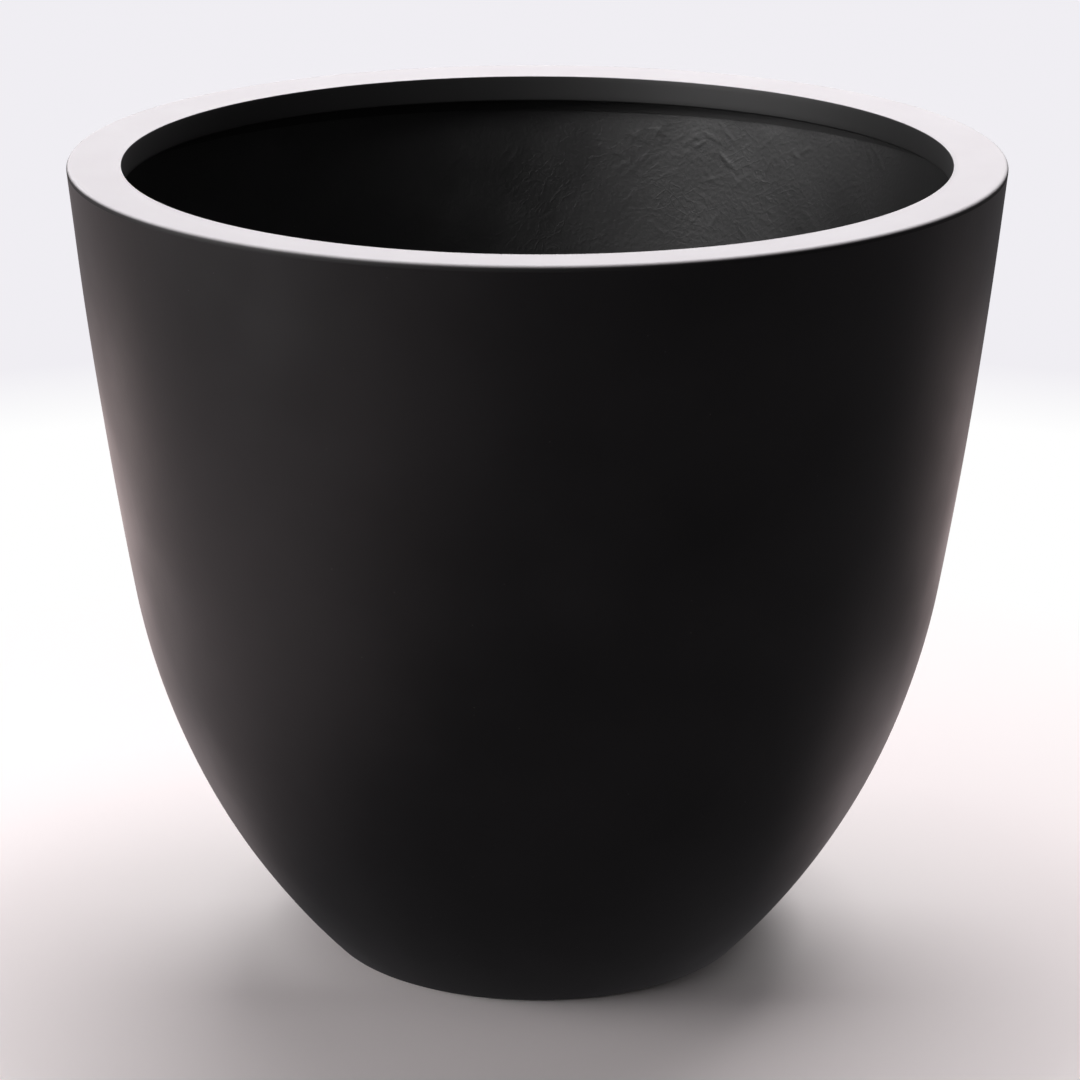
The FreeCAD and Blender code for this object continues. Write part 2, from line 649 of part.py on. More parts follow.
def check(doc, pieces):
    """Stops before anything is written if an object failed or a piece has no sound shape."""
    for thing in doc.Objects:
        faults = {"Invalid", "Error"} & set(thing.State)
        assert not faults, f"{thing.Name}: {thing.State}"
        if thing.isDerivedFrom("Sketcher::SketchObject"):
            assert thing.FullyConstrained, f"{thing.Name} is not fully constrained"
    for piece in pieces:
        assert not piece.Shape.isNull(), f"{piece.Label} has no shape"
        assert piece.Shape.isValid(), f"{piece.Label} is not sound"


def main():
    """Builds the planter and writes one file for each piece."""
    doc = FreeCAD.newDocument("planter")
    make_sheet(doc)
    pieces = [make(doc) for make in MAKERS]
    doc.recompute()
    check(doc, pieces)
    os.makedirs("parts", exist_ok=True)
    for piece in pieces:
        piece.Shape.exportStep(f"parts/{piece.Label}.step")
        print(piece.Label, len(piece.Shape.Solids), round(piece.Shape.Volume))


main()
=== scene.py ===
"""Looks of a round black fiberglass floor planter, its pale rim top a painted reflection, in a plain white
studio.

Metres, +Z up. The origin is on the floor, on the planter's axis, and +Y points away from the viewer.
"""
import logging
import math
from dataclasses import dataclass
from enum import Enum
from functools import reduce
from typing import Any, Callable, Mapping, Sequence

import bpy
import numpy as np
from mathutils import Matrix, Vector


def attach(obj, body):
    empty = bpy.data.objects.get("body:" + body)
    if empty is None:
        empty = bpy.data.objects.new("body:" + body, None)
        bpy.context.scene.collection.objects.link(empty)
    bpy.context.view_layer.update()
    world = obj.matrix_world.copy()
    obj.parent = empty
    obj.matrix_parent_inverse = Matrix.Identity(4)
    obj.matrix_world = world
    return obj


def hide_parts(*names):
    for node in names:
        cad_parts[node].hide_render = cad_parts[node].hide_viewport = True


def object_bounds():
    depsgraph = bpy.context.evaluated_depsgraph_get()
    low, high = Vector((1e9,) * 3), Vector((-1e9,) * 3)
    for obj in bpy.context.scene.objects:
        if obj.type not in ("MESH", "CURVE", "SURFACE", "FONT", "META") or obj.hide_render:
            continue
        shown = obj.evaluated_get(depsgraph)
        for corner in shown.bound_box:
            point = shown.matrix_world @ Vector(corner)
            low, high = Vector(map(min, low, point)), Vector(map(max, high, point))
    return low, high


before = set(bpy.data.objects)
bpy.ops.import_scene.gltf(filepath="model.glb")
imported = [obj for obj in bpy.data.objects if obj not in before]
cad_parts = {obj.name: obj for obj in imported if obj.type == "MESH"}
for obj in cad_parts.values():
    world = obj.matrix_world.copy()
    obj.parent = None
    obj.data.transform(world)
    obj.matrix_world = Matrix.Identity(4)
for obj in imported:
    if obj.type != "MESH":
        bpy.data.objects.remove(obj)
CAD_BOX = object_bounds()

LOG = logging.getLogger("planter")
BODY = "planter"
# mesh weight of the painted reflection on the rim's top
PAINTED_REFLECTION_MASK = "painted_reflection"
APRON_MASK = "apron"
FULL_TURN = 2.0 * math.pi
NEAR = 1e-6
RISING = (0.0, 1.0)
FALLING = (1.0, 0.0)
Span = tuple[float, float]
Place = tuple[float, float, float]
Colour = tuple[float, float, float]
Array = np.ndarray
Wire = bpy.types.NodeSocket
Piece = bpy.types.Object
WHITE: Colour = (1.0, 1.0, 1.0)
BLACK: Colour = (0.0, 0.0, 0.0)


class Reach(Enum):
    """What a lamp lights: everything, reflections alone or matt surfaces alone."""

    ALL = "all"
    SHEEN = "sheen"
    FILL = "fill"


class Slot(Enum):
    """The record's material slots."""

    SHELL = "shell_black"
    RIM = "rim_pale"
    LAMINATE = "laminate_dark"


class Along(Enum):
    """What a limit of a zone on the floor is measured along."""

    RIGHT = "x"
    BACK = "y"
    SIDEWAYS = "x to either side"
    AWAY = "distance from the axis"


class Socket(Enum):
    """Kinds of sockets on a shared effect."""

    VALUE = "NodeSocketFloat"
    VECTOR = "NodeSocketVector"


def smooth_step(low: float, high: float, values: Array) -> Array:
    """Rises smoothly from 0 at low to 1 at high, or falls if low is the larger.

    Args:
        low: Where the result is 0.
        high: Where the result is 1.
        values: Numbers to weigh.

    Returns:
        The cubic 3t^2 - 2t^3 of the clamped share t of the way from low to high.
    """
    share = np.clip((values - low) / (high - low), 0.0, 1.0)
    return share * share * (3.0 - 2.0 * share)


def faded(values: Array, *spans: Span) -> Array:
    """Product of smooth steps of the values, one for each span."""
    return np.prod([smooth_step(*span, values) for span in spans], axis=0)


@dataclass(frozen=True)
class Ripples:
    """A smooth random field on a turned surface, periodic around the axis.

    The field is a sum of cosines of k * angle + q * height + phase, with whole numbers k.
    """

    seed: int
    waves: int
    around: tuple[int, int]
    upward: float

    def field(self, angles: Array, heights: Array) -> Array:
        """Values of about -1 to 1 on a grid.

        Args:
            angles: Angle of each column.
            heights: Height, or any other length, of each row.

        Returns:
            An array of one row for each height and one column for each angle.
        """
        rng = np.random.default_rng(self.seed)
        turns = rng.integers(self.around[0], self.around[1] + 1, self.waves)
        climb = rng.uniform(-self.upward, self.upward, self.waves)
        phase = rng.uniform(0.0, FULL_TURN, self.waves)
        column = turns[:, None] * angles[None, :]
        row = climb[:, None] * heights[None, :] + phase[:, None]
        total = np.cos(row).T @ np.cos(column) - np.sin(row).T @ np.sin(column)
        return total / math.sqrt(2.0 * self.waves)


@dataclass(frozen=True)
class Creases:
    """Folds of glass mat under the resin: straight ridges at many slants.

    A ridge is its depth times a bell curve across it, exp(-(v / width)^2), times a bell curve of
    the fourth power along it, exp(-(u / half length)^4). It is worked out within its reach, a
    number of half lengths.
    """

    seed: int
    count: int
    band: Span
    sector: Span = (0.0, FULL_TURN)
    length: Span = (0.01, 0.034)
    width: Span = (0.0014, 0.0023)
    depth: Span = (0.00004, 0.0002)
    slant: Span = (0.25, 1.1)
    rising_share: float = 0.72
    reach: float = 1.6

    def field(self, angles: Array, heights: Array, radius: float) -> Array:
        """Height of the folds on a grid.

        Args:
            angles: Angle of each column.
            heights: Height of each row.
            radius: Mean radius, which turns an angle into a length.

        Returns:
            An array of one row for each height and one column for each angle.
        """
        rng = np.random.default_rng(self.seed)
        total = np.zeros((heights.size, angles.size))
        middle = rng.uniform(*self.sector, self.count)
        level = rng.uniform(*self.band, self.count)
        half_length = rng.uniform(*self.length, self.count) / 2.0
        width = rng.uniform(*self.width, self.count)
        depth = rng.uniform(*self.depth, self.count)
        side = np.where(rng.random(self.count) < self.rising_share, 1.0, -1.0)
        slant = rng.uniform(*self.slant, self.count) * side
        for angle, height, half, broad, deep, lean in zip(middle, level, half_length, width, depth, slant):
            along = ((angles - angle + math.pi) % FULL_TURN - math.pi) * radius
            up = heights - height
            columns = np.flatnonzero(np.abs(along) < self.reach * half)
            rows = np.flatnonzero(np.abs(up) < self.reach * half)
            x, y = along[columns][None, :], up[rows][:, None]
            u = x * math.cos(lean) + y * math.sin(lean)
            v = y * math.cos(lean) - x * math.sin(lean)
            total[np.ix_(rows, columns)] += deep * np.exp(-(v / broad) ** 2 - (u / half) ** 4)
        return total


@dataclass
class WallCurve:
    """Section of the wall: a bowl arc, a flare arc and a straight land, tangent to each other."""

    rim_radius: float = 0.457
    height: float = 0.803
    rim_wall: float = 0.006
    base_radius: float = 0.215
    foot_lift: float = 0.0015
    shoulder_height: float = 0.377
    land_height: float = 0.060
    rim_flare: float = math.radians(5.7)
    shoulder_flare: float = math.radians(9.5)

    def __post_init__(self) -> None:
        """Works out the arcs: a chord leans by the mean of the flares at its two ends."""
        rim, shoulder = self.rim_flare, self.shoulder_flare
        self.joint = (self.rim_radius - self.rim_wall * math.tan(rim), self.height - self.rim_wall)
        self.land = (self.joint[0] - self.land_height * math.tan(rim), self.joint[1] - self.land_height)
        rise = self.land[1] - self.shoulder_height
        shoulder_radius = self.land[0] - rise * math.tan((rim + shoulder) / 2.0)
        climb = self.shoulder_height - self.foot_lift
        self.base_flare = 2.0 * math.atan2(shoulder_radius - self.base_radius, climb) - shoulder
        self.flare_arc = rise / (math.sin(shoulder) - math.sin(rim))
        self.bowl_arc = climb / (math.sin(self.base_flare) - math.sin(shoulder))
        lean = (math.cos(shoulder), -math.sin(shoulder))
        self.flare_centre = (shoulder_radius - self.flare_arc * lean[0],
                             self.shoulder_height - self.flare_arc * lean[1])
        self.bowl_centre = (shoulder_radius - self.bowl_arc * lean[0],
                            self.shoulder_height - self.bowl_arc * lean[1])

    def radius(self, heights: Array, inset: float = 0.0) -> Array:
        """Radius of the wall at each height, at an even distance inside its outside.

        Args:
            heights: Heights above the floor.
            inset: Distance inwards, square to the wall.

        Returns:
            Centre plus the root of arc^2 - height^2 on the arcs, and a straight line on the land.
        """
        def on_arc(centre: tuple[float, float], arc: float) -> Array:
            """Radius on one arc."""
            return centre[0] + np.sqrt(np.maximum((arc - inset) ** 2 - (heights - centre[1]) ** 2, 0.0))

        low = self.shoulder_height + inset * math.sin(self.shoulder_flare)
        high = self.land[1] + inset * math.sin(self.rim_flare)
        straight = self.land[0] - inset * math.cos(self.rim_flare)
        straight = straight + (heights - high) * math.tan(self.rim_flare)
        upper = np.where(heights < high, on_arc(self.flare_centre, self.flare_arc), straight)
        return np.where(heights < low, on_arc(self.bowl_centre, self.bowl_arc), upper)

    def line(self, heights: Array, inset: float = 0.0) -> Array:
        """Points of the wall, as radius and height, at the given heights."""
        return np.column_stack((self.radius(heights, inset), heights))


def corner_arc(before: Array, corner: Array, after: Array,
               radius: float, steps: int) -> Array:
    """Points of the arc that rounds a corner between two straight sides.

    The tangent points lie radius / tan(half angle) from the corner, and the centre on the bisector.
    The spoke turns evenly from the first tangent point to the second.

    Args:
        before: A point on the first side.
        corner: The corner.
        after: A point on the second side.
        radius: Radius of the rounding.
        steps: Number of stretches of the arc.

    Returns:
        An array of steps + 1 points.
    """
    first = (before - corner) / np.linalg.norm(before - corner)
    second = (after - corner) / np.linalg.norm(after - corner)
    half = math.acos(float(np.clip(first @ second, -1.0, 1.0))) / 2.0
    bisector = (first + second) / np.linalg.norm(first + second)
    centre = corner + bisector * radius / math.sin(half)
    start = corner + first * radius / math.tan(half) - centre
    finish = corner + second * radius / math.tan(half) - centre
    sweep = math.pi - 2.0 * half
    share = np.linspace(0.0, 1.0, steps + 1)[:, None]
    spoke = np.sin((1.0 - share) * sweep) * start + np.sin(share * sweep) * finish
    return centre + spoke / math.sin(sweep)


def rounded_loop(corners: Sequence[tuple[float, float, float]], spacing: float, steps: int) -> Array:
    """A closed line of straight sides with rounded corners, split into even stretches.

    Args:
        corners: Radius, height and rounding of each corner, anticlockwise.
        spacing: Longest stretch on a straight side.
        steps: Stretches on each rounding.

    Returns:
        An array of points, the first not repeated at the end.
    """
    places = np.array([corner[:2] for corner in corners])
    parts = []
    for number, (_, _, rounding) in enumerate(corners):
        before, here, after = places[number - 1], places[number], places[(number + 1) % len(corners)]
        parts.append(corner_arc(before, here, after, rounding, steps) if rounding else here[None, :])
    line = []
    for part, following in zip(parts, parts[1:] + parts[:1]):
        gap = following[0] - part[-1]
        count = max(1, math.ceil(float(np.linalg.norm(gap)) / spacing))
        share = np.arange(1, count)[:, None] / count
        line += [part, part[-1] + share * gap]
    return np.concatenate(line)


def outward(profile: Array) -> Array:
    """Unit normals of a closed anticlockwise profile: its direction turned to the right."""
    along = np.roll(profile, -1, axis=0) - np.roll(profile, 1, axis=0)
    return np.column_stack((along[:, 1], -along[:, 0])) / np.linalg.norm(along, axis=1, keepdims=True)


def turned_piece(name: str, profile: Array, angles: Array, push: Array,
                 sharp: float = math.radians(32.0)) -> Piece:
    """A closed ring: a closed profile carried once around the axis.

    Row i and column j lie at the profile's point i, moved by push_ij along its normal, turned by
    angle j: x = r cos(angle), y = r sin(angle), z = z. The last row and column join the first.

    Args:
        name: Name of the piece.
        profile: Radius and height of each row, anticlockwise.
        angles: Angle of each column, rising over one turn.
        push: Distance outwards of each row and column.
        sharp: Angle above which an edge stays sharp.

    Returns:
        The new object, linked to the scene.
    """
    normal = outward(profile)
    radius = profile[:, :1] + push * normal[:, :1]
    height = profile[:, 1:] + push * normal[:, 1:]
    points = np.stack((radius * np.cos(angles), radius * np.sin(angles), height), axis=-1)
    rows, columns = push.shape
    grid = np.arange(rows * columns).reshape(rows, columns)
    right, above = np.roll(grid, -1, axis=1), np.roll(grid, -1, axis=0)
    corner = np.roll(right, -1, axis=0)
    faces = np.stack((grid, right, corner, above), axis=-1).reshape(-1, 4)
    mesh = bpy.data.meshes.new(name)
    mesh.vertices.add(rows * columns)
    mesh.vertices.foreach_set("co", points.reshape(-1).astype(np.float32))
    mesh.loops.add(faces.size)
    mesh.loops.foreach_set("vertex_index", faces.reshape(-1).astype(np.int32))
    mesh.polygons.add(len(faces))
    mesh.polygons.foreach_set("loop_start", np.arange(0, faces.size, 4, dtype=np.int32))
    mesh.polygons.foreach_set("use_smooth", np.ones(len(faces), dtype=bool))
    mesh.update(calc_edges=True)
    mesh.validate()
    mesh.set_sharp_from_angle(angle=sharp)
    piece = bpy.data.objects.new(name, mesh)
    bpy.context.scene.collection.objects.link(piece)
    LOG.info("%s: %d points, %d triangles", name, rows * columns, 2 * len(faces))
    return piece


def even_angles(count: int) -> Array:
    """Evenly spread columns over one turn."""
    return np.arange(count) * FULL_TURN / count


def spread(*stretches: tuple[float, float, int]) -> Array:
    """Columns in stretches, each with its start, its end, which is left out, and its count."""
    return np.concatenate([np.linspace(*stretch, endpoint=False) for stretch in stretches])


def aimed(right: Array, up: Array, ahead: Array, place: Place) -> Matrix:
    """Placement of a lamp or a camera, which faces along its own -Z axis."""
    axes = np.column_stack((right, up, -ahead, place))
    return Matrix(np.vstack((axes, (0, 0, 0, 1))).tolist())


class Graph:
    """Adds nodes to a shader tree and joins them."""

    def __init__(self, tree: bpy.types.NodeTree) -> None:
        """Starts on an empty tree."""
        self.tree = tree
        tree.nodes.clear()

    def add(self, kind: str, feeds: Mapping[Any, Any] | None = None, **settings: Any) -> bpy.types.Node:
        """Adds a node.

        Args:
            kind: The node's type.
            feeds: Input name or number, with the socket or the constant that goes in.
            **settings: The node's own settings.

        Returns:
            The new node.
        """
        node = self.tree.nodes.new(kind)
        for key, value in settings.items():
            setattr(node, key, value)
        for key, value in (feeds or {}).items():
            socket = node.inputs[key]
            if isinstance(value, Wire):
                self.tree.links.new(value, socket)
            else:
                socket.default_value = (*value, 1.0) if socket.type == "RGBA" else value
        return node

    def math(self, operation: str, first: Any, second: Any = 0.0) -> Wire:
        """Result of a sum of one or two values."""
        return self.add("ShaderNodeMath", {0: first, 1: second}, operation=operation).outputs[0]

    def product(self, *values: Any) -> Wire:
        """Product of two or more values."""
        return reduce(lambda total, value: self.math("MULTIPLY", total, value), values)

    def blend(self, share: Any, first: Any, second: Any) -> Wire:
        """Colour between two colours: the share is how much there is of the second."""
        feeds = {0: share, 6: first, 7: second}
        return self.add("ShaderNodeMix", feeds, data_type="RGBA").outputs[2]

    def span(self, value: Any, source: tuple[Any, Any], target: tuple[Any, Any]) -> Wire:
        """A value carried from one span to another, held at its ends."""
        feeds = {0: value, 1: source[0], 2: source[1], 3: target[0], 4: target[1]}
        return self.add("ShaderNodeMapRange", feeds).outputs[0]

    def noise(self, place: Any, scale: Any, detail: float, bend: float = 0.0) -> Wire:
        """Smooth noise of about 0.5."""
        feeds = {"Vector": place, "Scale": scale, "Detail": detail, "Distortion": bend}
        return self.add("ShaderNodeTexNoise", feeds).outputs[0]

    def bump(self, height: Any, depth: Any) -> Wire:
        """Normal of a surface that is raised by a height."""
        feeds = {"Height": height, "Distance": depth, "Strength": 1.0}
        return self.add("ShaderNodeBump", feeds).outputs[0]

    def effect(self, group: bpy.types.NodeTree, place: Wire, **values: float) -> Wire:
        """What a shared effect gives at a place, with its own values."""
        return self.add("ShaderNodeGroup", {"Vector": place, **values}, node_tree=group).outputs[0]


@dataclass
class Effects:
    """Shared surface effects, each a node group that is built once."""

    cloud_span: Span = (0.32, 0.68)
    cloud_detail: float = 4.0
    peel_detail: float = 1.5
    speck_core: float = 0.5
    speck_pick: float = 0.72
    strand_turns: tuple[Place, Place] = ((0.5, 0.8, 0.2), (-0.6, -0.7, 0.9))
    strand_stretch: Place = (1.0, 1.0, 3.6)
    strand_detail: float = 2.0
    strand_bend: float = 0.12
    strand_middle: float = 0.5
    strand_width: float = 0.03
    patch_scale: float = 13.0
    patch_detail: float = 1.0
    patch_span: Span = (0.40, 0.68)
    patch_weight: Span = (0.08, 0.34)
    pebble_scale: float = 3.1
    pebble_detail: float = 3.0

    def __post_init__(self) -> None:
        """Builds the groups."""
        self.clouding = self._group("Clouding", ("Scale", "Low", "High"), Socket.VALUE, self._clouding)
        self.peel = self._group("Peel", ("Scale", "Depth"), Socket.VECTOR, self._peel)
        self.specks = self._group("Specks", ("Scale", "Size"), Socket.VALUE, self._specks)
        self.fibres = self._group("Fibres", ("Scale", "Depth"), Socket.VECTOR, self._fibres)

    @staticmethod
    def _group(name: str, values: Sequence[str], kind: Socket,
               formula: Callable[[Graph, Any], Wire]) -> bpy.types.NodeTree:
        """Builds a group that takes a place, as Vector, and some values.

        Args:
            name: Name of the group.
            values: Name of each value that it takes.
            kind: Kind of its result.
            formula: Makes the result in a graph, from what the group takes.

        Returns:
            The group.
        """
        tree = bpy.data.node_groups.new(name, "ShaderNodeTree")
        tree.interface.new_socket("Vector", in_out="INPUT", socket_type=Socket.VECTOR.value)
        for label in values:
            tree.interface.new_socket(label, in_out="INPUT", socket_type=Socket.VALUE.value)
        tree.interface.new_socket("Result", in_out="OUTPUT", socket_type=kind.value)
        graph = Graph(tree)
        result = formula(graph, graph.add("NodeGroupInput").outputs)
        graph.add("NodeGroupOutput", {"Result": result})
        return tree

    def _clouding(self, graph: Graph, take: Any) -> Wire:
        """Soft uneven patches, as a value between Low and High."""
        noise = graph.noise(take["Vector"], take["Scale"], self.cloud_detail)
        return graph.span(noise, self.cloud_span, (take["Low"], take["High"]))

    def _peel(self, graph: Graph, take: Any) -> Wire:
        """Fine waviness of a sprayed or moulded skin, as a normal."""
        noise = graph.noise(take["Vector"], take["Scale"], self.peel_detail)
        return graph.bump(noise, take["Depth"])

    def _specks(self, graph: Graph, take: Any) -> Wire:
        """Sparse small dots of dust.

        Args:
            graph: The group's graph.
            take: What the group takes, by name.

        Returns:
            The dots' mask.
        """
        cells = graph.add("ShaderNodeTexVoronoi", {"Vector": take["Vector"], "Scale": take["Scale"]})
        core = graph.product(take["Size"], self.speck_core)
        dots = graph.span(cells.outputs["Distance"], (core, take["Size"]), FALLING)
        pick = graph.add("ShaderNodeSeparateColor", {0: cells.outputs["Color"]}).outputs[0]
        return graph.product(dots, graph.math("GREATER_THAN", pick, self.speck_pick))

    def _fibres(self, graph: Graph, take: Any) -> Wire:
        """Pebbled resin with patches of fine crossing strands.

        Args:
            graph: The group's graph.
            take: What the group takes, by name.

        Returns:
            The normal.
        """
        place, scale = take["Vector"], take["Scale"]
        strands = []
        for turn in self.strand_turns:
            feeds = {"Vector": place, "Rotation": turn, "Scale": self.strand_stretch}
            slanted = graph.add("ShaderNodeMapping", feeds, vector_type="TEXTURE").outputs[0]
            noise = graph.noise(slanted, scale, self.strand_detail, self.strand_bend)
            ridge = graph.math("ABSOLUTE", graph.math("SUBTRACT", noise, self.strand_middle))
            strands.append(graph.span(ridge, (0.0, self.strand_width), FALLING))
        patch = graph.noise(place, self.patch_scale, self.patch_detail)
        patch = graph.span(patch, self.patch_span, self.patch_weight)
        mask = graph.product(graph.math("MAXIMUM", *strands), patch)
        pebbles = graph.noise(place, graph.product(scale, self.pebble_scale), self.pebble_detail)
        return graph.bump(graph.math("ADD", mask, pebbles), take["Depth"])


@dataclass(frozen=True)
class Finish:
    """A finish with uneven colour and sheen, a fine skin and a little dust."""

    name: str
    dark: Colour
    light: Colour
    roughness: Span
    specular: float
    cloud_scale: float = 6.0
    sheen_scale_share: float = 1.7
    peel_scale: float = 260.0
    peel_depth: float = 0.00004
    speck_scale: float = 70.0
    speck_size: float = 0.05
    speck_colour: Colour = (0.05, 0.048, 0.046)

    def colour(self, graph: Graph, effects: Effects, place: Wire) -> Wire:
        """Colour of the surface.

        Args:
            graph: The material's graph.
            effects: The shared effects.
            place: Object coordinates.

        Returns:
            The colour's socket.
        """
        cloud = graph.effect(effects.clouding, place, Scale=self.cloud_scale, Low=0.0, High=1.0)
        base = graph.blend(cloud, self.dark, self.light)
        specks = graph.effect(effects.specks, place, Scale=self.speck_scale, Size=self.speck_size)
        return graph.blend(specks, base, self.speck_colour)

    def normal(self, graph: Graph, effects: Effects, place: Wire) -> Wire:
        """Normal of the surface's fine skin."""
        return graph.effect(effects.peel, place, Scale=self.peel_scale, Depth=self.peel_depth)

    def coat(self, graph: Graph) -> dict[str, Any]:
        """What the shader gets for a coat over the finish: nothing."""
        return {}

    def material(self, effects: Effects) -> bpy.types.Material:
        """Builds the material.

        Args:
            effects: The shared effects.

        Returns:
            The material.
        """
        material = bpy.data.materials.new(self.name)
        material.use_nodes = True
        graph = Graph(material.node_tree)
        place = graph.add("ShaderNodeTexCoord").outputs["Object"]
        low, high = self.roughness
        scale = self.cloud_scale * self.sheen_scale_share
        rough = graph.effect(effects.clouding, place, Scale=scale, Low=low, High=high)
        shader = graph.add("ShaderNodeBsdfPrincipled", {
            "Base Color": self.colour(graph, effects, place),
            "Roughness": rough,
            "Specular IOR Level": self.specular,
            "Normal": self.normal(graph, effects, place),
            **self.coat(graph),
        })
        graph.add("ShaderNodeOutputMaterial", {"Surface": shader.outputs[0]})
        return material


@dataclass(frozen=True)
class BlackRimWithPaintedReflection(Finish):
    """Black sides, a pale top that is a painted reflection, and a dull coat on the apron."""

    # pale colours of the painted reflection of the overhead light on the rim's top
    painted_reflection_dark: Colour = (0.63, 0.605, 0.626)
    painted_reflection_light: Colour = (0.652, 0.631, 0.651)
    painted_reflection_scale: float = 11.0
    coat_roughness: float = 0.47

    def colour(self, graph: Graph, effects: Effects, place: Wire) -> Wire:
        """Black, with the pale painted reflection of the overhead light where its mask is.

        Args:
            graph: The material's graph.
            effects: The shared effects.
            place: Object coordinates.

        Returns:
            The colour's socket.
        """
        cloud = graph.effect(effects.clouding, place, Scale=self.painted_reflection_scale, Low=0.0, High=1.0)
        painted_reflection_colour = graph.blend(cloud, self.painted_reflection_dark, self.painted_reflection_light)
        mask = graph.add("ShaderNodeAttribute", attribute_name=PAINTED_REFLECTION_MASK).outputs["Fac"]
        return graph.blend(mask, super().colour(graph, effects, place), painted_reflection_colour)

    def coat(self, graph: Graph) -> dict[str, Any]:
        """What the shader gets for the dull coat, which lies where the apron mask is."""
        mask = graph.add("ShaderNodeAttribute", attribute_name=APRON_MASK).outputs["Fac"]
        return {"Coat Weight": mask, "Coat Roughness": self.coat_roughness}


@dataclass(frozen=True)
class LaidLaminate(Finish):
    """Hand-laid glass mat under dark resin."""

    fibre_scale: float = 70.0
    fibre_depth: float = 0.00026

    def normal(self, graph: Graph, effects: Effects, place: Wire) -> Wire:
        """Normal of the strands that show through the resin."""
        return graph.effect(effects.fibres, place, Scale=self.fibre_scale, Depth=self.fibre_depth)


GEL_BLACK: tuple[Colour, Colour] = ((0.0035, 0.0032, 0.0036), (0.0066, 0.0061, 0.0067))
GELCOAT = Finish("gelcoat", *GEL_BLACK, roughness=(0.33, 0.39), specular=0.25)
# rim finish: black, with a painted reflection of the overhead light as its pale top
RIM_BLACK_AND_PAINTED_REFLECTION = BlackRimWithPaintedReflection("rim_black_and_painted_reflection", *GEL_BLACK, roughness=(0.62, 0.68), specular=0.25)
LAMINATE = LaidLaminate("laminate", (0.007, 0.0068, 0.0074), (0.011, 0.0106, 0.0116),
                        roughness=(0.47, 0.54), specular=0.62, cloud_scale=14.0)
PLASTIC = Finish("drain_plastic", (0.012, 0.012, 0.013), (0.022, 0.022, 0.024),
                 roughness=(0.34, 0.5), specular=0.5, cloud_scale=40.0)
RUBBER = Finish("rubber", (0.012, 0.012, 0.012), (0.024, 0.023, 0.023),
                roughness=(0.62, 0.8), specular=0.3, cloud_scale=60.0, peel_scale=900.0)
ADHESIVE = Finish("adhesive", (0.06, 0.06, 0.062), (0.13, 0.13, 0.135),
                  roughness=(0.45, 0.65), specular=0.4, cloud_scale=50.0)


def dress(piece: Piece, material: bpy.types.Material) -> None:
    """Gives a piece one material."""
    piece.data.materials.clear()
    piece.data.materials.append(material)


def seat(piece: Piece, node: str) -> None:
    """Puts a piece on the planter's body and in place of its node.

    Args:
        piece: The piece.
        node: CAD node that it stands for.
    """
    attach(piece, BODY)
    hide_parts(node)


@dataclass
class Part:
    """A sub-assembly, with the shared effects for its finishes and the wall that it fits."""

    effects: Effects
    wall: WallCurve


CREASED: Span = (math.radians(35.0), math.radians(105.0))
BROAD_FOLDS = Creases(5, 260, (0.08, 0.75), length=(0.03, 0.09), width=(0.006, 0.010),
                      depth=(0.00004, 0.00012))
SHORT_FOLDS = Creases(43, 70, (0.60, 0.745), CREASED)
CLOSE_FOLDS = Creases(47, 40, (0.69, 0.738), (math.radians(52.0), math.radians(80.0)))
DEEP_FOLDS = Creases(53, 9, (0.70, 0.743), (math.radians(50.0), math.radians(68.0)),
                     length=(0.012, 0.026), width=(0.0014, 0.0019), depth=(0.00022, 0.00038))


